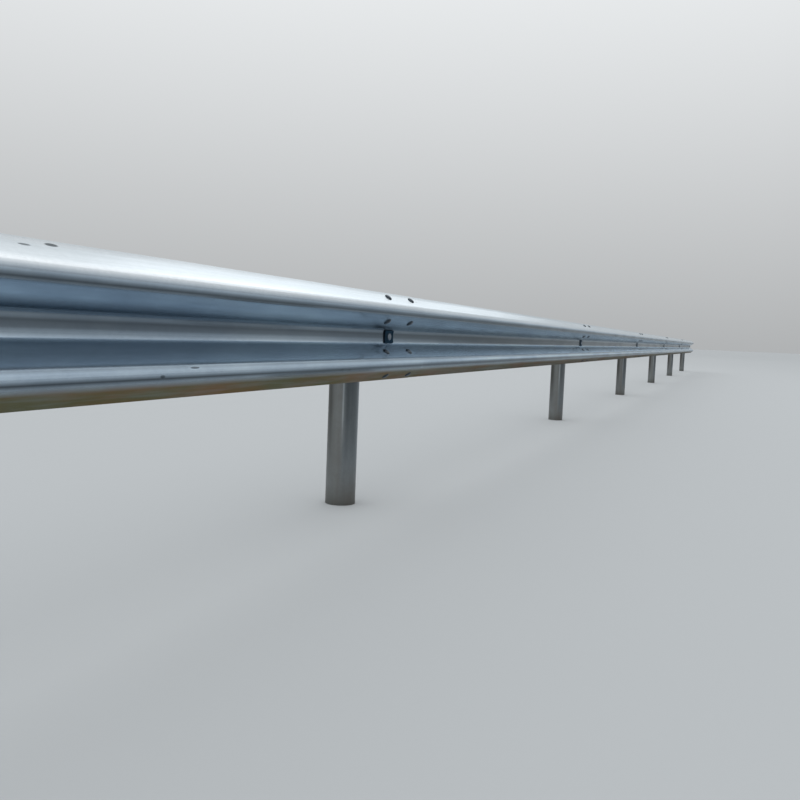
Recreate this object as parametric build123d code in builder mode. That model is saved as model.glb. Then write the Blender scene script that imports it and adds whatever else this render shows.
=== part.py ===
from build123d import *
from math import cos, radians, sin, tan
import os

# Steel guardrail: six bays of two-wave rail on round posts.
# Millimetres. X runs along the rail, the rail's front faces -Y, +Z is up, and the posts stand on Z = 0.
# The origin is the centre of the first post's foot.

# Layout along the rail
bay_count = 6
post_spacing = 4000.0
rail_centre_height = 640.0

# Two-wave rail section, in rolled sheet
rail_height = 310.0
rail_depth = 85.0
rail_sheet = 3.0
crown_spacing = 192.0
web_angle = 55.0
wave_bend_radius = 24.0
lip_bend_radius = 10.0
lip_turn = 10.0
lip_height = 10.0

# Lap joint between two rails
lap_length = 320.0
splice_spacing = 216.0
splice_hole_diameter = 18.0
splice_slot_length = 24.0
outer_splice_height = 136.0
inner_splice_height = 56.0
nesting_clearance = 0.3

# Slot for the bolt through the valley
valley_slot_length = 50.0
valley_slot_width = 20.0

# Round post and its cap
post_diameter = 114.0
post_wall = 4.5
post_above_rail_centre = 150.0
cap_wall = 2.0
cap_skirt = 30.0
cap_crown = 6.0
cap_flat_radius = 30.0
cap_edge_radius = 5.0

# Folded block between rail and post
block_reach = 106.0
block_height = 200.0
block_plate = 4.5
block_front_width = 80.0
block_width = 178.0
block_shoulder_depth = 46.0
block_fold_radius = 8.0
cradle_angle = 58.0

# Plate washer in the valley
washer_length = 76.0
washer_width = 44.0
washer_plate = 4.0
washer_bend_radius = 6.0

# Fits
bolt_hole_diameter = 18.0
seat_clearance = 0.3

# Distances that follow from the sizes above
post_radius = post_diameter / 2
post_height = rail_centre_height + post_above_rail_centre
rail_length = post_spacing + lap_length
block_front = -(post_radius + seat_clearance + block_reach)
rail_valley = block_front - seat_clearance - rail_sheet / 2
nesting_depth = rail_sheet / cos(radians(web_angle)) + nesting_clearance
nesting_step = nesting_depth / (1 - lap_length / 2 / post_spacing)

# The section's centre line, as (distance in front of the valley, height) of its corners
sheet_bend_radius = wave_bend_radius + rail_sheet / 2
web_rise = tan(radians(web_angle))
crown_corner = rail_depth - rail_sheet + sheet_bend_radius * (1 / cos(radians(web_angle)) - 1)
crown_height = crown_spacing / 2
valley_corner_height = crown_height - crown_corner / web_rise
lip_angle = web_angle - lip_turn
lip_tip_height = rail_height / 2 - rail_sheet / 2 * sin(radians(lip_angle))
lip_corner_height = lip_tip_height - lip_height
lip_corner = crown_corner - (lip_corner_height - crown_height) * web_rise
lip_tip = lip_corner - lip_height * tan(radians(lip_angle))
lip_centre_radius = lip_bend_radius + rail_sheet / 2


def web_point(height):
    """The point of the section's centre line at a height on a straight web: (distance in front, height)."""
    if abs(height) > crown_height:
        front = crown_corner - (abs(height) - crown_height) * web_rise
    else:
        front = (abs(height) - valley_corner_height) * web_rise
    return front, height


def web_normal(height):
    """The direction square to the web at a height, pointing to the front: (front, up)."""
    outer = 1 if abs(height) > crown_height else -1
    up = outer if height > 0 else -outer
    return cos(radians(web_angle)), up * sin(radians(web_angle))


def far_end_step(bay):
    """How far a rail's far end stands in front of the block-out, to leave room for the next rail behind it."""
    return nesting_step if 0 <= bay < bay_count - 1 else 0


def rail_frame(bay):
    """The plane across a rail at its first post: local X points back, local Y up, and the normal along it."""
    along = Vector(post_spacing, -far_end_step(bay), 0).normalized()
    return Plane(
        origin=(bay * post_spacing, rail_valley, rail_centre_height),
        x_dir=(-along.Y, along.X, 0),
        z_dir=along,
    )


def make_rail(bay):
    """One rolled rail, lapped behind the one before it and in front of the one after it."""
    frame = rail_frame(bay)
    start = -lap_length / 2
    half_section = [
        (-lip_tip, lip_tip_height),
        (-lip_corner, lip_corner_height),
        (-crown_corner, crown_height),
        (0, valley_corner_height),
    ]
    section = half_section + [(back, -height) for back, height in reversed(half_section)]
    bends = [lip_centre_radius, sheet_bend_radius, sheet_bend_radius]
    with BuildPart() as rail:
        with BuildSketch(frame.offset(start)):
            with BuildLine():
                centre_line = FilletPolyline(*section, radius=bends + bends[::-1])
            trace(centre_line, line_width=rail_sheet)
        extrude(amount=rail_length)
        for joint, slot_length in ((0, splice_hole_diameter), (post_spacing, splice_slot_length)):
            for height in (outer_splice_height, inner_splice_height, -inner_splice_height, -outer_splice_height):
                front, up = web_point(height)
                normal_front, normal_up = web_normal(height)
                for along in (joint - splice_spacing / 2, joint + splice_spacing / 2):
                    centre = frame.from_local_coords((-front, up, along))
                    normal = frame.from_local_coords((-normal_front, normal_up, 0)) - frame.origin
                    with BuildSketch(Plane(origin=centre, x_dir=frame.z_dir, z_dir=normal)):
                        if slot_length > splice_hole_diameter:
                            SlotOverall(slot_length, splice_hole_diameter)
                        else:
                            Circle(splice_hole_diameter / 2)
                    extrude(amount=rail_sheet, both=True, mode=Mode.SUBTRACT)
            valley = frame.from_local_coords((0, 0, joint))
            with BuildSketch(Plane(origin=valley, x_dir=frame.z_dir, z_dir=-frame.x_dir)):
                SlotOverall(valley_slot_length, valley_slot_width)
            extrude(amount=rail_sheet, both=True, mode=Mode.SUBTRACT)
    return rail.part


def make_post(number):
    """A round tube from its foot up, drilled front and back for the block's bolt."""
    x = number * post_spacing
    with BuildPart() as post:
        with BuildSketch(Plane(origin=(x, 0, 0))):
            Circle(post_radius)
            Circle(post_radius - post_wall, mode=Mode.SUBTRACT)
        extrude(amount=post_height)
        with BuildSketch(Plane(origin=(x, 0, rail_centre_height), x_dir=(1, 0, 0), z_dir=(0, -1, 0))):
            Circle(bolt_hole_diameter / 2)
        extrude(amount=post_diameter, both=True, mode=Mode.SUBTRACT)
    return post.part


def make_cap(number):
    """A pressed cap over the post: a shallow crown, a rounded edge and a straight skirt."""
    skirt = post_radius + seat_clearance + cap_wall / 2
    rim = cap_edge_radius
    with BuildPart() as cap:
        with BuildSketch(Plane(origin=(number * post_spacing, 0, post_height), x_dir=(1, 0, 0), z_dir=(0, -1, 0))):
            with BuildLine():
                centre_line = FilletPolyline(
                    (0, rim + cap_crown),
                    (cap_flat_radius, rim + cap_crown),
                    (skirt, rim),
                    (skirt, -cap_skirt),
                    radius=cap_edge_radius,
                )
            trace(centre_line, line_width=cap_wall)
        revolve(axis=Axis((number * post_spacing, 0, 0), (0, 0, 1)))
    return cap.part


def make_block(number):
    """A closed ring folded from plate: a flat front, two shoulders, and a cradle that fits the post."""
    cradle_radius = post_radius + seat_clearance
    wing = (cradle_radius * sin(radians(cradle_angle)), -cradle_radius * cos(radians(cradle_angle)))
    shoulder = (block_width / 2, block_front + block_shoulder_depth)
    front = (block_front_width / 2, block_front)
    with BuildPart() as block:
        with BuildSketch(Plane(origin=(number * post_spacing, 0, rail_centre_height - block_height / 2))) as ring:
            with BuildLine():
                Polyline((-wing[0], wing[1]), (-shoulder[0], shoulder[1]), (-front[0], front[1]), front, shoulder, wing)
                ThreePointArc(wing, (0, -cradle_radius), (-wing[0], wing[1]))
            make_face()
            fillet(ring.vertices(), radius=block_fold_radius)
            offset(amount=-block_plate, mode=Mode.SUBTRACT)
        extrude(amount=block_height)
        bolt_line = Plane(
            origin=(number * post_spacing, 0, rail_centre_height), x_dir=(1, 0, 0), z_dir=(0, -1, 0)
        )
        with BuildSketch(bolt_line):
            Circle(bolt_hole_diameter / 2)
        extrude(amount=-2 * block_front, mode=Mode.SUBTRACT)
    return block.part


def make_washer(number):
    """A plate washer across the valley, its long edges bent up to follow the bends beside it."""
    flat = valley_corner_height - sheet_bend_radius * tan(radians(web_angle) / 2)
    reach = washer_width / 2 - flat
    lift = wave_bend_radius - (wave_bend_radius**2 - reach**2) ** 0.5
    back = rail_valley - far_end_step(number - 1) - rail_sheet / 2 - seat_clearance - washer_plate / 2
    with BuildPart() as washer:
        plane = Plane(
            origin=(number * post_spacing - washer_length / 2, back, rail_centre_height),
            x_dir=(0, 1, 0),
            z_dir=(1, 0, 0),
        )
        with BuildSketch(plane):
            with BuildLine():
                centre_line = FilletPolyline(
                    (-lift, washer_width / 2),
                    (0, flat),
                    (0, -flat),
                    (-lift, -washer_width / 2),
                    radius=washer_bend_radius,
                )
            trace(centre_line, line_width=washer_plate)
        extrude(amount=washer_length)
        with BuildSketch(Plane(origin=(number * post_spacing, back, rail_centre_height), z_dir=(0, -1, 0))):
            Circle(bolt_hole_diameter / 2)
        extrude(amount=washer_plate, both=True, mode=Mode.SUBTRACT)
    return washer.part


def write(piece, name):
    """Label a finished piece and write it to a file of the same name."""
    piece.label = name
    export_step(piece, f"parts/{name}.step")


os.makedirs("parts", exist_ok=True)

for number in range(bay_count + 1):
    write(make_post(number), f"post_{number + 1}")
    write(make_cap(number), f"post_cap_{number + 1}")
    write(make_block(number), f"blockout_{number + 1}")
    write(make_washer(number), f"plate_washer_{number + 1}")

for bay in range(bay_count):
    write(make_rail(bay), f"rail_{bay + 1}")
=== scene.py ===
import bpy
import math
import numpy as np
from functools import partial
from mathutils import Matrix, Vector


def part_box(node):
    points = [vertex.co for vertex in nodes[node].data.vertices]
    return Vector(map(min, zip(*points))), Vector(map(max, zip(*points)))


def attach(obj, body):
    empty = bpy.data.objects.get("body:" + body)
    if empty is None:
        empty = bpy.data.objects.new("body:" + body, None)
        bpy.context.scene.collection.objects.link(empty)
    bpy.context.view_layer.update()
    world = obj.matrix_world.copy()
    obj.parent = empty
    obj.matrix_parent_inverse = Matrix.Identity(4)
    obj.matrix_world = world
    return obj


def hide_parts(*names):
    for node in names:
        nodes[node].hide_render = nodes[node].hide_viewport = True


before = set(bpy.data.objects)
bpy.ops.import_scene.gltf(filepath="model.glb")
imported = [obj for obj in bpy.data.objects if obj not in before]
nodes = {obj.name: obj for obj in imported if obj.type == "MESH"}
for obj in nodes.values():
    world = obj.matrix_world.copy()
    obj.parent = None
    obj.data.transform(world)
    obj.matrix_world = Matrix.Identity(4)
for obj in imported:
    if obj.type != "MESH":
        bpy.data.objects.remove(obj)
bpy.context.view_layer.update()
mm = 0.001
print("frame loaded:", len(nodes), "nodes")

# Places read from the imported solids, in metres
postCount = sum(1 for name in nodes if name.startswith("post_") and not name.startswith("post_cap"))
postBoxes = [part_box(f"post_{n + 1}") for n in range(postCount)]
postX = np.array([(low.x + high.x) / 2 for low, high in postBoxes])
postRadius = (postBoxes[0][1].x - postBoxes[0][0].x) / 2
postTop = postBoxes[0][1].z
railZ = sum(corner.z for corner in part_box("rail_1")) / 2
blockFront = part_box("blockout_1")[0].y
bayLength = postX[1] - postX[0]


# sRGB hex to the linear colour that the shader nodes want: a dark channel over 12.92, any other
# as (channel + 0.055) / 1.055 to the power 2.4
def linear(hexCode):
    raw = np.array([int(hexCode[i:i + 2], 16) for i in (1, 3, 5)]) / 255
    lin = np.where(raw <= 0.04045, raw / 12.92, ((raw + 0.055) / 1.055) ** 2.4)
    return (*lin.tolist(), 1.0)


# One node: settings by name, and for its inputs (a list in their order, or a dictionary by name or number)
# a value or the output that feeds it
def addNode(tree, kind, sockets=(), **settings):
    node = tree.nodes.new("ShaderNode" + kind)
    for key, value in settings.items():
        setattr(node, key, value)
    for key, value in (sockets.items() if isinstance(sockets, dict) else enumerate(sockets)):
        if isinstance(value, bpy.types.NodeSocket):
            tree.links.new(value, node.inputs[key])
        else:
            node.inputs[key].default_value = value
    return node


# Quads of a grid of rows x columns points: each joins a point and the next in its row to the same two of
# the next row. Either way wraps round where asked
def gridFaces(rows, columns, wrapRows=False, wrapColumns=False):
    row, column = np.meshgrid(np.arange(rows if wrapRows else rows - 1),
                              np.arange(columns if wrapColumns else columns - 1), indexing="ij")
    nextRow, nextColumn = (row + 1) % rows, (column + 1) % columns
    return np.stack([row * columns + column, row * columns + nextColumn,
                     nextRow * columns + nextColumn, nextRow * columns + column], -1).reshape(-1, 4)


# A piece from whole arrays: points in metres, and one index array for each number of corners. It is smooth
# except over edges that turn by more than sharpAngle degrees
def meshPiece(name, points, faceSets, material, sharpAngle=35):
    mesh = bpy.data.meshes.new(name)
    allFaces = [face for faces in faceSets for face in faces.tolist()]
    mesh.from_pydata(np.asarray(points, float).tolist(), [], allFaces)
    mesh.shade_smooth()
    mesh.set_sharp_from_angle(angle=math.radians(sharpAngle))
    mesh.materials.append(material)
    piece = bpy.data.objects.new(name, mesh)
    bpy.context.scene.collection.objects.link(piece)
    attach(piece, "root")
    return piece


# (radius, height) rows turned round +Z: a point is (radius x cosine, radius x sine, height) of its angle.
# A tube's profile is a loop; any other is closed by a flat face at both ends
def turned(profile, steps, loop=False, radiusAt=None):
    profile = np.asarray(profile, float)
    angle = np.arange(steps) / steps * 2 * math.pi
    radius = profile[:, :1] * np.ones(steps) if radiusAt is None else radiusAt(profile, angle)
    points = np.stack([radius * np.cos(angle), radius * np.sin(angle),
                       profile[:, 1:] * np.ones(steps)], -1).reshape(-1, 3)
    faceSets = [gridFaces(len(profile), steps, wrapRows=loop, wrapColumns=True)]
    if not loop:
        ring = np.arange(steps)
        faceSets.append(np.stack([ring[::-1], ring + (len(profile) - 1) * steps]))
    return points, faceSets


# Copies of one shape: each copy's points are the shape's times its own axes, plus its place
def repeated(shape, places, axes):
    points, faceSets = shape
    places, axes = np.asarray(places), np.asarray(axes)
    copies = np.einsum("vk,nkj->nvj", points, axes) + places[:, None, :]
    shift = (np.arange(len(places)) * len(points))[:, None, None]
    copiedFaces = [(faces[None] + shift).reshape(-1, faces.shape[1]) for faces in faceSets]
    return copies.reshape(-1, 3), copiedFaces


# Several shapes as one: each one's indices go up by the number of points before it
def joined(*shapes):
    starts = np.cumsum([0] + [len(points) for points, faceSets in shapes])
    points = np.vstack([points for points, faceSets in shapes])
    return points, [faces + start for start, shape in zip(starts, shapes) for faces in shape[1]]


# Zinc from the galvanising bath: a metal whose crystals, its spangle, each catch the light a bit
# differently. Its tone is spangle x streaks x tone by height x tone further along x tone by side x each
# oval's tone; the sheet's tones by height and further along and the tube's tones by side are painted
# reflection and shade. A film takes the metal's place by its own share, brown and matt: dust at the foot,
# dust and a painted reflection of the ground under the rail, and a painted reflection of the ground on one
# side of the tube
def galvanised(name, plan):
    material = bpy.data.materials.new(name)
    material.use_nodes = True
    tree = material.node_tree
    tree.nodes.clear()
    add = partial(addNode, tree)
    eased = {"interpolation_type": "SMOOTHSTEP"}  # a Map Range that starts and stops gently
    place = add("TexCoord").outputs["Object"]
    normal = add("NewGeometry").outputs["Normal"]
    facingUp = add("SeparateXYZ", [normal]).outputs[2]
    apart = add("SeparateXYZ", [place])
    along, height = apart.outputs[0], apart.outputs[2]

    # straight lines through (value, level) pairs: a ramp of each level's share of topLevel, times topLevel
    def levels(value, pairs, topLevel=2.0):
        low, high = pairs[0][0], pairs[-1][0]
        ramp = add("ValToRGB", [add("MapRange", [value, low, high, 0, 1]).outputs[0]])
        for number, (at, level) in enumerate(pairs):
            spot, share = (at - low) / (high - low), level / topLevel
            stop = ramp.color_ramp.elements[number] if number < 2 else ramp.color_ramp.elements.new(spot)
            stop.position, stop.color = spot, (share, share, share, 1)
        return add("Math", [ramp.outputs[0], topLevel], operation="MULTIPLY").outputs[0]

    # the same over height: the pairs' values are millimetres above the rail's middle
    def byHeight(pairs):
        return levels(height, [(railZ + up * mm, level) for up, level in pairs])

    crystals = add("TexVoronoi", {"Vector": place, "Scale": 1 / plan["grain"]}).outputs["Color"]
    crystal = add("SeparateColor", [crystals]).outputs[0]
    patterns = []
    for pattern in ("streak", "cloud", "speckle"):
        size, stretch, detail = plan[pattern]
        drawnOut = add("Mapping", {"Vector": place, "Scale": stretch}).outputs[0]
        patterns.append(add("TexNoise", {"Vector": drawnOut, "Scale": 1 / size, "Detail": detail,
                                         "Roughness": plan["noiseRough"]}).outputs["Fac"])
    streaks, cloud, speckle = patterns

    ramp = add("ValToRGB", [cloud])
    for stop, at, colour in zip(ramp.color_ramp.elements, plan["cloudSpan"], (plan["dull"], plan["clear"])):
        stop.position, stop.color = at, linear(colour)
    plain = ramp.outputs[0]
    # a Mix takes its share at input 0, two numbers at 2 and 3, and two colours at 6 and 7
    if "crest" in plan:
        onCrest = add("MapRange", [height, *plan["crestRise"], 0, 1], **eased).outputs[0]
        plain = add("Mix", {0: onCrest, 6: plain, 7: linear(plan["crest"])}, data_type="RGBA").outputs[2]

    tones = []
    for source, span, vary in (
            (crystal, (0, 1), plan["spangleTone"]), (streaks, plan["noiseSpan"], plan["streakTone"])):
        tones.append(add("MapRange", [source, *span, 1 - vary, 1 + vary], **eased).outputs[0])
    tones.append(byHeight(plan["heightTone"]))
    if "farTone" in plan:
        farther = add("MapRange", [along, *plan["farRun"], 0, 1], **eased).outputs[0]
        farTone = add("Mix", {0: farther, 2: 1.0, 3: byHeight(plan["farTone"])}).outputs[0]
        tones.append(farTone)
    if "sideTone" in plan:
        sideways, nearness = (
            add("VectorMath", [normal, plan[axis]], operation="DOT_PRODUCT").outputs["Value"]
            for axis in ("sideAxis", "nearAxis"))
        near = add("MapRange", [nearness, *plan["nearSpan"], 0, 1], **eased).outputs[0]
        for table, rise in (("sideTone", "sideRise"), ("paintedHighlightTone", "paintedHighlightRise")):
            risen = add("MapRange", [height, *plan[rise], 0, 1], **eased).outputs[0]
            share = add("Math", [near, risen], operation="MULTIPLY").outputs[0]
            tones.append(add("Mix", {0: share, 2: 1.0, 3: levels(sideways, plan[table])}).outputs[0])
    # each scuff or painted line is an oval: its own tone inside, its rim's round it, and no change from the
    # last ring on
    for x, up, halfLength, halfHeight, inside, rim in plan.get("scuffsAndPaintedLines", ()):
        scale = (1 / (halfLength * mm), 0, 1 / (halfHeight * mm))
        shift = (-x * scale[0], 0, -(railZ + up * mm) * scale[2])
        offset = add("VectorMath", [place, scale, shift], operation="MULTIPLY_ADD").outputs[0]
        away = add("VectorMath", [offset], operation="LENGTH").outputs["Value"]
        tones.append(levels(away, tuple(zip(plan["ovalRings"], (inside, inside, rim, rim, 1)))))
    tone = tones[0]
    for factor in tones[1:]:
        tone = add("Math", [tone, factor], operation="MULTIPLY").outputs[0]
    if "back" in plan:
        backward = add("VectorMath", [normal, (0, 1, 0)], operation="DOT_PRODUCT").outputs["Value"]
        behind = add("MapRange", [backward, *plan["backSpan"], 0, 1], **eased).outputs[0]
        plain = add("Mix", {0: behind, 6: plain, 7: linear(plan["back"])}, data_type="RGBA").outputs[2]
        tone = add("Mix", {0: behind, 2: tone, 3: 1.0}).outputs[0]
    zinc = add("VectorMath", {0: plain, "Scale": tone}, operation="SCALE").outputs[0]

    # the film lies on faces that look down, low on the rail, as dust and painted reflection of the ground;
    # at the foot, as dust; and on one side of the tube, as painted reflection of the ground
    facingDown = add("MapRange", [facingUp, *plan["filmFacing"], 0, plan["underFilm"]], **eased).outputs[0]
    lowDown = add("MapRange", [height, *plan["filmRise"], 0, 1], **eased).outputs[0]
    under = add("Math", [facingDown, lowDown], operation="MULTIPLY").outputs[0]
    foot = add("MapRange", [height, plan["footTop"], 0, 0, plan["footFilm"]], **eased).outputs[0]
    film = add("Math", [under, foot], operation="MAXIMUM").outputs[0]
    if "sideFilm" in plan:
        film = add("Math", [film, levels(sideways, plan["sideFilm"])], operation="MAXIMUM").outputs[0]
    patchy = add("MapRange", [speckle, *plan["noiseSpan"], *plan["speckleTone"]], **eased).outputs[0]
    film = add("Math", [film, patchy], operation="MULTIPLY", use_clamp=True).outputs[0]
    dustAndReflectionMix = add("MapRange", [cloud, *plan["dustAndReflectionSpan"], 0, 1], **eased).outputs[0]
    brown, olive = (linear(colour) for colour in plan["dustAndReflectionColours"])
    dustAndReflection = add("Mix", {0: dustAndReflectionMix, 6: brown, 7: olive}, data_type="RGBA").outputs[2]
    if "farTone" in plan:
        dustAndReflection = add("VectorMath", {0: dustAndReflection, "Scale": farTone}, operation="SCALE").outputs[0]
    colour = add("Mix", {0: film, 6: zinc, 7: dustAndReflection}, data_type="RGBA").outputs[2]

    # rough where the zinc is dull, on the back and under the film
    rough = add("MapRange", [cloud, *plan["noiseSpan"], *plan["roughness"][::-1]], **eased).outputs[0]
    if "back" in plan:
        rough = add("Math", [behind, plan["backRough"], rough], operation="MULTIPLY_ADD").outputs[0]
    rough = add("Math", [crystal, plan["spangleRough"], rough], operation="MULTIPLY_ADD").outputs[0]
    rough = add("Math", [film, plan["filmRough"], rough],
                operation="MULTIPLY_ADD", use_clamp=True).outputs[0]
    metal = add("Math", [film, -1.0, 1.0], operation="MULTIPLY_ADD").outputs[0]  # one less the film's share
    bump = add("Bump", {"Strength": plan["bump"], "Distance": plan["relief"], "Height": streaks}).outputs[0]
    shader = add("BsdfPrincipled", {
        "Base Color": colour, "Metallic": metal, "Roughness": rough, "Normal": bump,
        "Specular IOR Level": plan["specular"], "Specular Tint": plan["edge"]}).outputs[0]
    add("OutputMaterial", {"Surface": shader})
    return material


# What all the zinc shares. A pattern is (width, stretch, detail). Crystals, patches and speckles have their
# real widths; the streaks are drawn wider, because real ones are too fine to show. Tones over height are
# (millimetres above the rail's middle, level); other heights are in metres
zincPlan = {
    "grain": 9 * mm, "spangleTone": 0.02, "spangleRough": 0.005,  # a crystal's width, and how they vary
    "streak": (12 * mm, (1, 1, 1), 4.0), "streakTone": 0.04, "bump": 0.06, "relief": 0.1 * mm,
    "cloud": (120 * mm, (1, 1, 1), 4.0), "cloudSpan": (0.36, 0.66),  # patches, from dull to clear
    "speckle": (30 * mm, (0.1, 1, 1), 6.0), "speckleTone": (0.9, 1.1),  # the film made uneven
    "noiseRough": 0.6, "noiseSpan": (0.3, 0.7),
    "edge": (1, 1, 1, 1), "specular": 0.1,  # the tint at a low view, and the dust's faint gloss
    "heightTone": ((-100, 1), (100, 1)),  # the same all over
    "filmFacing": (-0.1, -0.3), "filmRise": (0.532, 0.512), "underFilm": 0.0,  # dust and painted reflection of the ground under the rail
    "footTop": 0.2, "footFilm": 0.0,  # dust at the foot
    "dustAndReflectionColours": ("#735732", "#5A5937"), "dustAndReflectionSpan": (0.35, 0.65), "filmRough": 0.3,
    "ovalRings": (0, 0.8, 1.15, 1.35, 1.7),  # in shares of an oval's own size
}

# Hot-dip galvanised sheet, rolled to shape: bluish, nearly mirror smooth and streaked along the rail, with
# a whiter crest. Its tone over height is painted reflection, light and dark bands of mirrored
# surroundings, with painted dark lines under each bend; further along, other painted reflection bands
# darken the valley and the lower web and lighten the top. Its back is plain dull zinc. Scuffs and
# painted lines are (x in metres, up, half length, half height, tone, rim's tone)
zincSheet = galvanised("hot_dip_galvanised_sheet", zincPlan | {
    "streak": (12 * mm, (0.02, 1, 1), 4.0), "cloud": (120 * mm, (0.3, 1, 1), 4.0),
    # the film under the rail is dust and painted reflection of the ground
    "clear": "#CADBE9", "dull": "#B3C5D6", "roughness": (0.18, 0.26), "underFilm": 0.97,
    "edge": (0.88, 0.94, 0.98, 1), "crest": "#CDD1D4", "crestRise": (railZ + 88 * mm, railZ + 112 * mm),
    "back": "#AEB3B7", "backRough": 0.16, "backSpan": (0.2, 0.45),
    # painted reflection: light and dark bands over height, painted dark lines under each bend
    "heightTone": (
        (-155, 0.7), (-116, 0.55), (-111, 0.57), (-104, 0.15), (-98, 0.57), (-92, 1.2), (-86, 1.02),
        (-80, 0.4), (-75, 0.5), (-70, 1.22), (-50, 1.25), (-27, 1.25), (-22, 0.85), (-12, 0.72),
        (-4, 0.36), (10, 0.23), (19, 0.42), (25, 0.33), (33, 0.2), (44, 0.43), (56, 0.58), (71, 0.52),
        (77, 0.44), (82, 0.165), (88, 0.44), (99, 1.2), (105, 1.3), (112, 1.1), (122, 0.9), (140, 0.75),
        (155, 0.6)),
    # further along, a second set of painted reflection bands over height takes over
    "farRun": (2.9, 5.8),
    "farTone": (
        (-155, 0.45), (-135, 0.5), (-125, 0.75), (-111, 0.6), (-104, 0.2), (-98, 0.38), (-90, 1.3),
        (-78, 1.12), (-60, 0.82), (-42, 0.44), (-34, 0.85), (-26, 1.25), (-19, 0.28), (-12, 0.1),
        (-4, 0.12), (10, 0.18), (25, 0.44), (50, 1.15), (71, 0.75), (82, 0.14), (88, 0.12), (99, 1.0),
        (112, 1.08), (155, 1.65)),
    # scuffs, except three long painted dark reflection lines (at 3.38, 3.06 and 3.04) and a bright line
    # down the lower crest at the lap's edge (the last)
    "scuffsAndPaintedLines": (
        (2.282, 140, 14, 2, 0.22, 1), (2.352, 146.5, 16, 3, 0.15, 1), (2.726, -83, 17, 2.4, 0.4, 1.1),
        (2.61, -99.5, 8, 3.5, 0.4, 1), (3.465, -105, 7, 3, 0.5, 1), (3.52, -106.5, 7, 3, 0.5, 1),
        (3.814, -55, 12, 5, 0.45, 1.1), (4.15, 134.7, 13, 1.5, 0.6, 1), (3.38, -112, 360, 7, 0.5, 1),
        (3.06, 78, 280, 3.5, 0.6, 1), (3.04, 20, 280, 8, 0.75, 1), (4.157, -110, 3, 9, 1.9, 1)),
})

# Hot-dip galvanised tube, welded and drawn: duller and streaked upright, its base colour darkened all
# over as painted shade. Its near side has painted reflection and shade, which fade out lower down: light
# and dark bands by how each side faces, and a painted highlight line down the middle. One half has a
# brown painted reflection of the ground, and the foot has dust and is darker towards the bottom. Tones
# over its sides are (share of the radius sideways, level)
zincTube = galvanised("hot_dip_galvanised_tube", zincPlan | {
    "grain": 7 * mm, "streak": (14 * mm, (1, 1, 0.03), 4.0), "cloud": (120 * mm, (1, 1, 0.3), 4.0),
    # base colours darkened as painted shade
    "clear": "#919698", "dull": "#7D8488", "roughness": (0.3, 0.42), "footFilm": 0.35,
    "dustAndReflectionColours": ("#6B5A45", "#5E5A4A"),
    # darker towards the foot
    "heightTone": ((-640, 0.6), (-600, 0.85), (-560, 1), (-400, 1)),
    "sideAxis": (0.438, -0.899, 0), "nearAxis": (-0.899, -0.438, 0), "nearSpan": (-0.35, -0.05),
    "sideRise": (0.02, 0.4), "paintedHighlightRise": (0.24, 0.36),
    # painted reflection and shade: light and dark bands by how each side faces
    "sideTone": (
        (-1, 0.2), (-0.8, 0.36), (-0.7, 0.6), (-0.6, 0.8), (-0.4, 1.0), (-0.02, 1.18), (0.08, 0.8),
        (0.2, 0.55), (0.3, 0.48), (0.45, 0.6), (0.7, 0.64), (0.85, 0.78), (0.93, 1.1), (1, 1.6)),
    # a painted highlight line
    "paintedHighlightTone": ((-0.09, 1), (-0.05, 1.6), (0.02, 1.6), (0.05, 1)),
    # a brown painted reflection of the ground on one half
    "sideFilm": ((-1, 0.2), (-0.2, 0.35), (0.0, 0.2), (0.1, 0), (1, 0)),
})

# Galvanised pressed cap: plain dull zinc
zincCap = galvanised("hot_dip_galvanised_cap", zincPlan | {
    "grain": 7 * mm, "clear": "#8F9597", "dull": "#7A8286", "roughness": (0.32, 0.44)})

# Galvanised folded plate: thicker, so its crystals are wider and it is more matt
zincPlate = galvanised("hot_dip_galvanised_plate", zincPlan | {
    "grain": 11 * mm, "streak": (12 * mm, (1, 1, 0.2), 4.0),
    "clear": "#A5ABB0", "dull": "#878E94", "roughness": (0.34, 0.46)})

# Spun galvanised fasteners: spun out of the bath, so finely grained, and darker partly for that and
# partly as painted dark reflection. The flat washer plates are the darkest, as painted dark reflection,
# and the rail bolts' heads are lighter as a painted highlight
fastenerPlan = zincPlan | {"grain": 2 * mm, "cloud": (30 * mm, (1, 1, 1), 4.0), "roughness": (0.3, 0.42)}
# darker partly as painted dark reflection
zincFastener = galvanised("spun_galvanised_fastener", fastenerPlan | {
    "clear": "#4E565D", "dull": "#383F46"})
# the darkest, as painted dark reflection
zincWasher = galvanised("spun_galvanised_washer", fastenerPlan | {
    "clear": "#35404B", "dull": "#232D37", "edge": (0.45, 0.55, 0.65, 1)})
# lighter heads: a painted highlight
zincHead = galvanised("galvanised_head_painted_highlight", fastenerPlan | {"clear": "#858E97", "dull": "#68727B"})
print("materials done")

# Two-wave rail, millimetres. A block of grid lines stands round each hole and slot: its half sizes across
# and along, and how many lines it has each way
railPlan = {
    "height": 310, "depth": 85, "sheet": 3, "crownSpacing": 192, "webAngle": 55, "waveBend": 24,
    "lipBend": 10, "lipTurn": 10, "lipHeight": 10, "nesting": 0.3, "seat": 0.3,
    "lap": 320, "spliceSpacing": 216, "spliceHeights": (136, 56, -56, -136),
    "spliceHole": 18, "spliceSlot": 24, "valleySlot": (50, 20),
    "pathPoints": 8001, "bendSteps": 12, "flatStep": 9, "bayStep": 80,
    "holeBlock": (15, 18), "holeLines": (9, 9), "slotBlock": (12, 31), "slotLines": (7, 13),
    "lineGap": 1.5, "waviness": 0.2, "waveLengths": (2300, 1130, 610), "waveShapes": (1, 2, 4),
    "calmRun": 500, "seed": 7,
}


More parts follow.
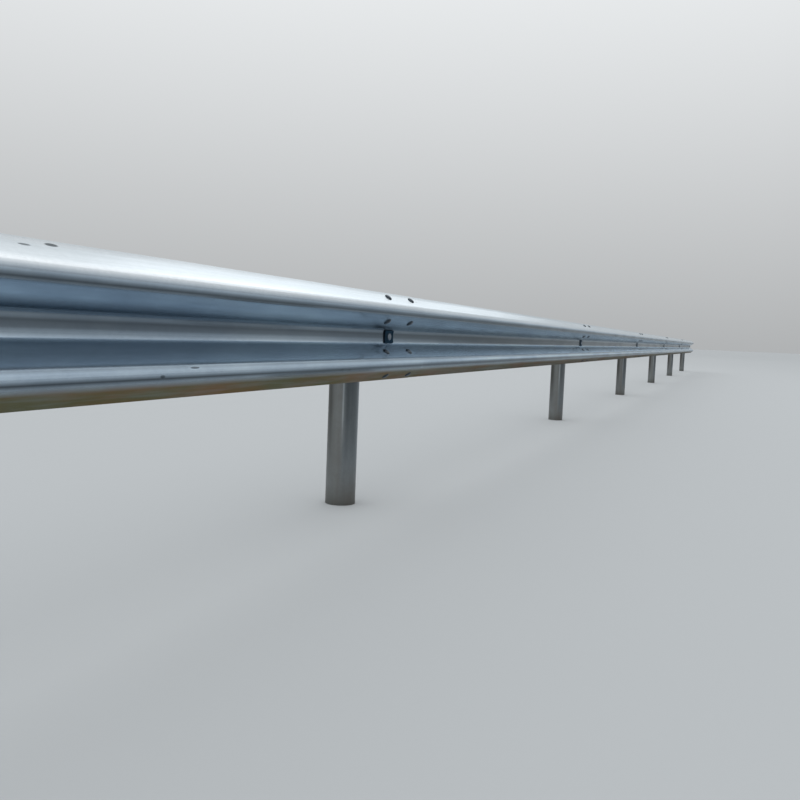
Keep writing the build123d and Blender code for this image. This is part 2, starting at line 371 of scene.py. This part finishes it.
# The section's centre line by its heading, which holds along each flat and turns evenly through each bend.
# Each point is the sum of the headings' cosines and sines up to it: (how far in front of the valley,
# height)
def sectionPath(plan):
    bend = plan["waveBend"] + plan["sheet"] / 2
    slope = math.radians(plan["webAngle"])
    crownFront = plan["depth"] - plan["sheet"] + bend * (1 / math.cos(slope) - 1)
    crownUp = plan["crownSpacing"] / 2
    lipSlope = slope - math.radians(plan["lipTurn"])
    tipUp = (plan["height"] - plan["sheet"] * math.sin(lipSlope)) / 2
    lipUp = tipUp - plan["lipHeight"]
    lipFront = crownFront - (lipUp - crownUp) * math.tan(slope)
    tipFront = lipFront - plan["lipHeight"] * math.tan(lipSlope)
    half = np.array([[tipFront, tipUp], [lipFront, lipUp], [crownFront, crownUp],
                     [0, crownUp - crownFront / math.tan(slope)]])
    corners = np.vstack([half, half[::-1] * [1, -1]])
    radii = np.array([plan["lipBend"] + plan["sheet"] / 2, bend, bend])
    radii = np.concatenate([radii, radii[::-1]])
    legs = np.diff(corners, axis=0)
    heading = np.unwrap(np.arctan2(legs[:, 1], legs[:, 0]))
    turn = np.abs(np.diff(heading))
    tangent = radii * np.tan(turn / 2)
    lengths = np.zeros(2 * len(legs) - 1)
    lengths[0::2] = np.hypot(*legs.T) - np.append(tangent, 0) - np.append(0, tangent)
    lengths[1::2] = radii * turn
    knots = np.append(0, np.cumsum(lengths))
    run = np.linspace(0, knots[-1], plan["pathPoints"])
    angle = np.interp(run, knots, np.repeat(heading, 2))
    steps = np.stack([np.cos(angle), np.sin(angle)], -1)
    moves = (steps[1:] + steps[:-1]) / 2 * np.diff(run)[:, None]
    return knots, run, angle, corners[0] + np.vstack([[0, 0], np.cumsum(moves, axis=0)])


sectionKnots, sectionRun, sectionAngle, sectionPoints = sectionPath(railPlan)
spliceRuns = np.interp(-np.array(railPlan["spliceHeights"]), -sectionPoints[:, 1], sectionRun)

# How far a lapped rail's far end stands forward: the sheet's thickness along -Y plus the gap, over the
# share of the bay that lies before the lap
lapStep = railPlan["sheet"] / math.cos(math.radians(railPlan["webAngle"])) + railPlan["nesting"]
lapStep = lapStep / (1 - railPlan["lap"] * mm / 2 / bayLength)
valleyY = blockFront / mm - railPlan["seat"] - railPlan["sheet"] / 2
railMiddle = railZ / mm


# The section at runs across it, between its points: (how far in front of the valley, height, heading)
def sectionAt(runs):
    columns = (sectionPoints[:, 0], sectionPoints[:, 1], sectionAngle)
    return [np.interp(runs, sectionRun, column) for column in columns]


# Grid lines: plain ones, and over the reach round each centre count even ones in their place
def gridLines(plain, centres, reach, count):
    blocks = [np.linspace(c - reach, c + reach, count) for c in centres]
    far = np.all([np.abs(plain - c) > reach + railPlan["lineGap"] for c in centres], axis=0)
    ends = (plain == plain.min()) | (plain == plain.max())
    return np.unique(np.concatenate([plain[far | ends]] + blocks).round(4))  # to a tenth of a micrometre


# A flat pattern of grid lines with punched slots. Round each slot the cells give way to a ring of quads,
# whose inner points are where the rays to the outer points cross the slot's outline: its straight sides, or
# else its end circles
def punchedSheet(across, along, slots):
    slack, tiny = 0.01, 1e-9  # against rounding, and against a division by nothing
    rows, columns = len(across), len(along)
    grid = np.stack(np.meshgrid(across, along, indexing="ij"), -1).reshape(-1, 2)
    keep = np.ones((rows - 1, columns - 1), bool)
    points, faceSets, holeRings = [grid], [], []
    for centre, halfBlock, straight, radius in slots:
        (top, bottom), (left, right) = (
            np.searchsorted(lines, [middle - half - slack, middle + half + slack]) - [0, 1]
            for lines, middle, half in zip((across, along), centre, halfBlock))
        keep[top:bottom, left:right] = False
        outer = np.concatenate([
            top * columns + np.arange(left, right), np.arange(top, bottom) * columns + right,
            bottom * columns + np.arange(right, left, -1), np.arange(bottom, top, -1) * columns + left])
        ray = grid[outer] - centre
        ray /= np.hypot(*ray.T)[:, None]
        sine, cosine = np.abs(ray[:, 0]), np.abs(ray[:, 1])
        toSide = radius / np.maximum(sine, tiny)
        toEnd = straight * cosine + np.sqrt(np.maximum(radius**2 - (straight * sine) ** 2, 0))
        reach = np.where(toSide * cosine <= straight, toSide, toEnd)
        inner = np.arange(len(outer)) + sum(len(p) for p in points)
        points.append(centre + ray * reach[:, None])
        faceSets.append(np.stack([outer, np.roll(outer, -1), np.roll(inner, -1), inner], -1))
        holeRings.append(inner)
    cells = gridFaces(rows, columns)[keep.ravel()]
    rim = np.concatenate([
        np.arange(columns - 1), np.arange(rows - 1) * columns + columns - 1,
        (rows - 1) * columns + np.arange(columns - 1, 0, -1), np.arange(rows - 1, 0, -1) * columns])
    return np.vstack(points), np.vstack([cells] + faceSets), rim, holeRings


# One rail's flat pattern, the same for every bay: (run across the section, run along from its first post).
# Lines follow the bends and stand round the holes: two columns of four splice holes and a valley slot at
# each end
def flatRail(plan, bayRun):
    middle = sectionKnots[-1] / 2
    counts = [plan["bendSteps"] if k % 2 else math.ceil(leg / plan["flatStep"])
              for k, leg in enumerate(np.diff(sectionKnots))]  # flat and bend by turns
    plain = np.concatenate([np.linspace(sectionKnots[k], sectionKnots[k + 1], count + 1)
                            for k, count in enumerate(counts)])
    holeBlock, slotBlock, holeLines, slotLines = (
        plan[key] for key in ("holeBlock", "slotBlock", "holeLines", "slotLines"))
    across = gridLines(np.unique(plain.round(4)), spliceRuns, holeBlock[0], holeLines[0])
    across = gridLines(across, [middle], slotBlock[0], slotLines[0])
    lapHalf, spliceHalf = plan["lap"] / 2, plan["spliceSpacing"] / 2
    plain = np.linspace(-lapHalf, bayRun + lapHalf, int((bayRun + plan["lap"]) / plan["bayStep"]) + 1)
    columns = [joint + side for joint in (0, bayRun) for side in (-spliceHalf, spliceHalf)]
    along = gridLines(plain, columns, holeBlock[1], holeLines[1])
    along = gridLines(along, [0, bayRun], slotBlock[1], slotLines[1])
    slots = []
    for joint, length in ((0, plan["spliceHole"]), (bayRun, plan["spliceSlot"])):
        straight = (length - plan["spliceHole"]) / 2
        slots += [((run, joint + side), holeBlock, straight, plan["spliceHole"] / 2)
                  for side in (-spliceHalf, spliceHalf) for run in spliceRuns]
        slotLength, slotWidth = plan["valleySlot"]
        slots.append(((middle, joint), slotBlock, (slotLength - slotWidth) / 2, slotWidth / 2))
    return punchedSheet(across, along, slots)


bayRun = bayLength / mm
flatPoints, flatFaces, flatRim, flatHoles = flatRail(railPlan, bayRun)


# Rolling leaves the sheet a little wavy between the laps: sines along it, one set for each wave across the
# section, summed and times a share that falls to nothing at the laps
def waviness(plan, bay):
    rng = np.random.default_rng(plan["seed"] + bay)
    starts = rng.uniform(0, 2 * math.pi, (len(plan["waveShapes"]), len(plan["waveLengths"])))
    run, along = flatPoints.T
    lapHalf = plan["lap"] / 2
    calm = np.clip(np.minimum(along - lapHalf, bayRun - lapHalf - along) / plan["calmRun"], 0, 1)
    share = np.stack([np.cos(run / sectionKnots[-1] * math.pi * k) for k in plan["waveShapes"]], -1)
    wave = np.sin(along[:, None, None] / np.array(plan["waveLengths"]) * 2 * math.pi + starts)
    return plan["waviness"] * calm * (share[:, :, None] * wave).sum((1, 2)) / len(plan["waveShapes"])


# The flat pattern folded to the section: the run across picks the section's point, and the run along goes
# straight along the rail. Both faces stand half the sheet's thickness off along the section's normal, and
# strips close the edges
def makeRail(plan, bay, material):
    step = lapStep if bay < postCount - 2 else 0
    ahead = np.array([bayRun, -step, 0]) / math.hypot(bayRun, step)
    back = np.array([-ahead[1], ahead[0], 0])
    upward = np.array([0, 0, 1])
    front, up, angle = sectionAt(flatPoints[:, 0])
    normal = -np.sin(angle)[:, None] * -back + np.cos(angle)[:, None] * upward
    origin = np.array([postX[bay] / mm, valleyY, railMiddle])
    middleSurface = (origin + flatPoints[:, 1:] * ahead - front[:, None] * back
                     + up[:, None] * upward + waviness(plan, bay)[:, None] * normal)
    half = normal * plan["sheet"] / 2
    points = np.vstack([middleSurface + half, middleSurface - half]) * mm
    count = len(flatPoints)
    nextRim = np.roll(flatRim, -1)
    walls = [np.stack([flatRim, nextRim, nextRim + count, flatRim + count], -1)]
    for ring in flatHoles:
        nextRing = np.roll(ring, -1)
        walls.append(np.stack([ring + count, nextRing + count, nextRing, ring], -1))
    allFaces = np.vstack([flatFaces[:, ::-1], flatFaces + count] + walls)
    used, renumbered = np.unique(allFaces, return_inverse=True)
    quads = renumbered.reshape(-1, 4)
    piece = meshPiece(f"rail_sheet_{bay + 1}", points[used], [quads], material)
    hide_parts(f"rail_{bay + 1}")
    return piece


for bay in range(postCount - 1):
    makeRail(railPlan, bay, zincSheet)
print("rails done")

# Posts, millimetres: the tube's outer wall up and its inner wall down again, as one loop
postPlan = {"wall": 4.5, "steps": 96, "rings": 12}
tubeRadius, tubeTop = postRadius / mm, postTop / mm
heights = np.linspace(0, tubeTop, postPlan["rings"])
tubeProfile = np.vstack([
    np.stack([np.full(len(heights), tubeRadius), heights], -1),
    np.stack([np.full(len(heights), tubeRadius - postPlan["wall"]), heights[::-1]], -1)])
tubePoints, tubeFaces = turned(tubeProfile, postPlan["steps"], loop=True)
for number, x in enumerate(postX):
    piece = meshPiece(f"post_tube_{number + 1}", tubePoints * mm + [x, 0, 0], tubeFaces, zincTube)
    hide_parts(f"post_{number + 1}")

# Caps, millimetres: a shallow cone, a rounded edge and a skirt, all one pressed sheet
capPlan = {"wall": 2, "skirt": 30, "crown": 6, "flat": 30, "edge": 5, "seat": 0.3,
           "steps": 96, "edgeSteps": 8, "middle": 1, "sharpAngle": 50}


# The sheet's outer face from the skirt's foot to the middle, whose edge is its centre + bend x (cosine,
# sine) up to the cone's tilt; the inner face is the same, one wall inside
def capProfile(plan):
    outer = tubeRadius + plan["seat"] + plan["wall"]
    rows = []
    for offset in (0, plan["wall"]):
        radius, bend = outer - offset, plan["edge"] + plan["wall"] / 2 - offset
        top = tubeTop + plan["edge"] + plan["wall"] / 2 - offset
        tilt = math.degrees(math.atan2(plan["crown"], radius - bend - plan["flat"]))
        angle = np.radians(np.linspace(0, 90 - tilt, plan["edgeSteps"]))
        edge = np.stack([radius - bend + bend * np.cos(angle), top - bend + bend * np.sin(angle)], -1)
        rows.append(np.vstack([[radius, tubeTop - plan["skirt"]], edge,
                               [plan["flat"], top + plan["crown"]], [plan["middle"], top + plan["crown"]]]))
    return np.vstack([rows[1][::-1], rows[0]])


capPoints, capFaces = turned(capProfile(capPlan), capPlan["steps"])
for number, x in enumerate(postX):
    piece = meshPiece(f"cap_{number + 1}", capPoints * mm + [x, 0, 0], capFaces, zincCap,
                      capPlan["sharpAngle"])
    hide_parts(f"post_cap_{number + 1}")
print("posts and caps done")

# The block-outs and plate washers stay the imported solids, in zinc of their own
for name, node in nodes.items():
    for start, material in (("blockout", zincPlate), ("plate_washer", zincWasher)):
        if name.startswith(start):
            node.data.materials.clear()
            node.data.materials.append(material)

# Fasteners, millimetres: M16 bolts with button heads, hex nuts and round washers. The dome runs in degrees,
# and the nut's face and corner are shares of half its width
boltPlan = {
    "head": 14, "headHeight": 6, "headFlat": 0.7, "dome": (6, 86), "domeRings": 9,
    "shank": 8, "tail": 5, "tailEdge": 1.2, "tailRoot": 1,
    "nutWidth": 24, "nutHeight": 13, "nutFace": 1.02, "nutCorner": 1.155, "nutEdge": 1.2, "nutBore": 0.6,
    "washer": 17, "washerThick": 3, "washerEdge": 0.3, "blockPlate": 4.5, "plateWasher": 4, "steps": 48,
}


# A button head: a quarter ellipse, (head x cosine, height x sine) from the rim to the middle, turned
def buttonHead(plan):
    angle = np.radians(np.linspace(*plan["dome"], plan["domeRings"]))
    dome = np.stack([plan["head"] * np.cos(angle), plan["headHeight"] * np.sin(angle)], -1)
    rim, middle = [plan["head"], 0], [plan["headFlat"], plan["headHeight"]]
    return turned(np.vstack([rim, dome, middle]), plan["steps"])


# A hex nut on its washer with the bolt's end. The nut's radius is half its width over the cosine of the
# angle from the nearest flat's middle, cut back to a circle near both ends
def hexNut(plan):
    flat, thick, edge = plan["nutWidth"] / 2, plan["washerThick"], plan["washerEdge"]
    top = thick + plan["nutHeight"]
    face, corner = flat * plan["nutFace"], flat * plan["nutCorner"]

    # the smaller of the hexagon's radius at each angle and the profile's at each height
    def hexRadius(profile, angle):
        toFlat = (angle + math.pi / 6) % (math.pi / 3) - math.pi / 6
        return np.minimum(flat / np.cos(toFlat), profile[:, :1])

    nut = turned([
        [face, thick], [corner, thick + plan["nutEdge"]], [corner, top - plan["nutEdge"]], [face, top],
        [plan["shank"] + plan["nutBore"], top]], plan["steps"], radiusAt=hexRadius)
    washer = turned([[plan["washer"] - edge, 0], [plan["washer"], edge], [plan["washer"], thick - edge],
                     [plan["washer"] - edge, thick]], plan["steps"])
    end = top + plan["tail"]
    tail = turned([[plan["shank"], top - plan["tailRoot"]], [plan["shank"], end - plan["tailEdge"]],
                   [plan["shank"] - plan["tailEdge"], end]], plan["steps"])
    return joined(nut, washer, tail)


# Axes of a fastener whose own +Z points along direction: the other two come from its cross product with +Z,
# or with +Y where it is nearly upright
def axesAlong(direction):
    z = np.array(direction, float) / np.linalg.norm(direction)
    nearlyUpright = abs(z[2]) >= 0.95
    x = np.cross([0, 1, 0] if nearlyUpright else [0, 0, 1], z)
    x = x / np.linalg.norm(x)
    return np.stack([x, np.cross(z, x), z])


# All fasteners of one kind as one piece: the shape repeated at its places
def fastenerPiece(name, shape, places, axes, material=zincFastener):
    points, faceSets = repeated(shape, places, axes)
    meshPiece(name, points * mm, faceSets, material)


# Splice bolts: heads stand on the front sheet and nuts on the back one, square to the web, each half the
# joint's thickness off its middle
headPlaces, headAxes, nutPlaces, nutAxes = [], [], [], []
for x in postX[1:-1] / mm:
    for height, front, angle in zip(railPlan["spliceHeights"], *sectionAt(spliceRuns)[::2]):
        normal = np.array([0, math.sin(angle), math.cos(angle)])
        half = lapStep / 2 * abs(normal[1]) + railPlan["sheet"] / 2
        for side in (-railPlan["spliceSpacing"] / 2, railPlan["spliceSpacing"] / 2):
            centre = np.array([x + side, valleyY - front - lapStep / 2, railMiddle + height])
            headPlaces.append(centre + normal * half)
            headAxes.append(axesAlong(normal))
            nutPlaces.append(centre - normal * half)
            nutAxes.append(axesAlong(-normal))
head, nut = buttonHead(boltPlan), hexNut(boltPlan)
fastenerPiece("splice_bolt_heads", head, headPlaces, headAxes)
fastenerPiece("splice_nuts", nut, nutPlaces, nutAxes)

# The bolt through each plate washer and block-out front, and the bolt through each post
steps = np.array([0] + [lapStep] * (postCount - 2) + [0])
washerFace = valleyY - steps - railPlan["sheet"] / 2 - railPlan["seat"] - boltPlan["plateWasher"]
blockInside = blockFront / mm + boltPlan["blockPlate"]
cradleInside = -(tubeRadius + railPlan["seat"] + boltPlan["blockPlate"])
for name, shape, faceY, direction, material in (
        ("rail_bolt_heads", head, washerFace, -1, zincHead),
        ("rail_bolt_nuts", nut, blockInside, 1, zincFastener),
        ("post_bolt_heads", head, cradleInside, -1, zincFastener),
        ("post_bolt_nuts", nut, tubeRadius, 1, zincFastener)):
    places = [[x, y, railMiddle] for x, y in zip(postX / mm, np.broadcast_to(faceY, postCount))]
    fastenerPiece(name, shape, places, [axesAlong([0, direction, 0])] * postCount, material)
print("fasteners done")

# Studio, metres and watts: a pale floor, a pale dome that is darker low down on the front side, a tall soft
# lamp beyond the far end, which the rail's upper slopes mirror, and a wide soft one overhead. Rises are
# (share of the way up, level) and lamps are (place, degrees turned, size, power)
studioPlan = {
    "floor": "#B9BCBE", "floorSize": 400, "floorRough": 0.9, "floorSpecular": 0.1,
    "domeStrength": 1.2, "domeTint": (0.96, 0.985, 1), "frontSpan": (0.0, -0.45),
    "backRise": ((0.0, 0.38), (0.15, 0.5), (0.4, 0.72), (0.65, 0.9)),
    "frontRise": ((0.0, 0.32), (0.15, 0.38), (0.42, 0.52), (0.75, 0.9)),
    "lamps": {
        "far_softbox": ((60, 20, 30), (0, 90, 0), (32, 36), 1900),
        "top_softbox": ((12, 0, 12), (0, 0, 0), (30, 12), 340),
    },
}
floorMesh = bpy.data.meshes.new("floor")
size = studioPlan["floorSize"] / 2
floorCorners = [(-size, -size, 0), (size, -size, 0), (size, size, 0), (-size, size, 0)]
floorMesh.from_pydata(floorCorners, [], [(0, 1, 2, 3)])
floor = bpy.data.objects.new("floor", floorMesh)
bpy.context.scene.collection.objects.link(floor)
floorMaterial = bpy.data.materials.new("matt_painted_floor")  # even and without gloss
floorMaterial.use_nodes = True
floorShader = floorMaterial.node_tree.nodes["Principled BSDF"]
floorShader.inputs["Base Color"].default_value = linear(studioPlan["floor"])
floorShader.inputs["Roughness"].default_value = studioPlan["floorRough"]
floorShader.inputs["Specular IOR Level"].default_value = studioPlan["floorSpecular"]
floorMesh.materials.append(floorMaterial)

dome = bpy.data.worlds.new("pale_dome")
dome.use_nodes = True
tree = dome.node_tree
tree.nodes.clear()
aim = addNode(tree, "SeparateXYZ", [addNode(tree, "TexCoord").outputs["Generated"]])
rises = []
for stops in (studioPlan["backRise"], studioPlan["frontRise"]):
    rise = addNode(tree, "ValToRGB", [aim.outputs[2]])
    for number, (position, level) in enumerate(stops):
        stop = rise.color_ramp.elements[number] if number < 2 else rise.color_ramp.elements.new(position)
        stop.position, stop.color = position, (*(level * tint for tint in studioPlan["domeTint"]), 1)
    rises.append(rise.outputs[0])
side = addNode(tree, "MapRange", [aim.outputs[1], *studioPlan["frontSpan"], 0, 1],
               interpolation_type="SMOOTHSTEP").outputs[0]
shade = addNode(tree, "Mix", {0: side, 6: rises[0], 7: rises[1]}, data_type="RGBA").outputs[2]
glow = addNode(tree, "Background", {"Color": shade, "Strength": studioPlan["domeStrength"]}).outputs[0]
addNode(tree, "OutputWorld", {"Surface": glow})
bpy.context.scene.world = dome

for name, (place, turnDeg, extent, power) in studioPlan["lamps"].items():
    lampData = bpy.data.lights.new(name, "AREA")
    lampData.shape = "RECTANGLE"
    lampData.size, lampData.size_y = extent
    lampData.energy = power
    lamp = bpy.data.objects.new(name, lampData)
    lamp.location = place
    lamp.rotation_euler = [math.radians(angle) for angle in turnDeg]
    lamp.visible_camera = False
    bpy.context.scene.collection.objects.link(lamp)
print("studio done")

# Camera: in front, low, looking along the rail. Angles in degrees, place in metres; an 800 x 800 frame
cameraPlan = {
    "place": (1.1802, -1.3747, 0.6504), "yaw": 22.094, "pitch": 4.524, "roll": 2.366,
    "focalPixels": 828.9, "framePixels": 800, "sensor": 36,
}
yaw, pitch, roll = (math.radians(cameraPlan[key]) for key in ("yaw", "pitch", "roll"))
ahead = np.array([math.cos(pitch) * math.cos(yaw), math.cos(pitch) * math.sin(yaw), -math.sin(pitch)])
level = np.array([math.sin(yaw), -math.cos(yaw), 0])
upright = np.cross(level, ahead)
right = level * math.cos(roll) + upright * math.sin(roll)
upward = upright * math.cos(roll) - level * math.sin(roll)
cameraData = bpy.data.cameras.new("camera")
cameraData.sensor_width = cameraPlan["sensor"]
cameraData.lens = cameraPlan["focalPixels"] / cameraPlan["framePixels"] * cameraPlan["sensor"]
camera = bpy.data.objects.new("camera", cameraData)
bpy.context.scene.collection.objects.link(camera)
aimed = np.eye(4)
aimed[:3] = np.stack([right, upward, -ahead, cameraPlan["place"]], -1)
camera.matrix_world = Matrix(aimed.tolist())
bpy.context.scene.camera = camera
bpy.context.scene.view_settings.view_transform = "Standard"
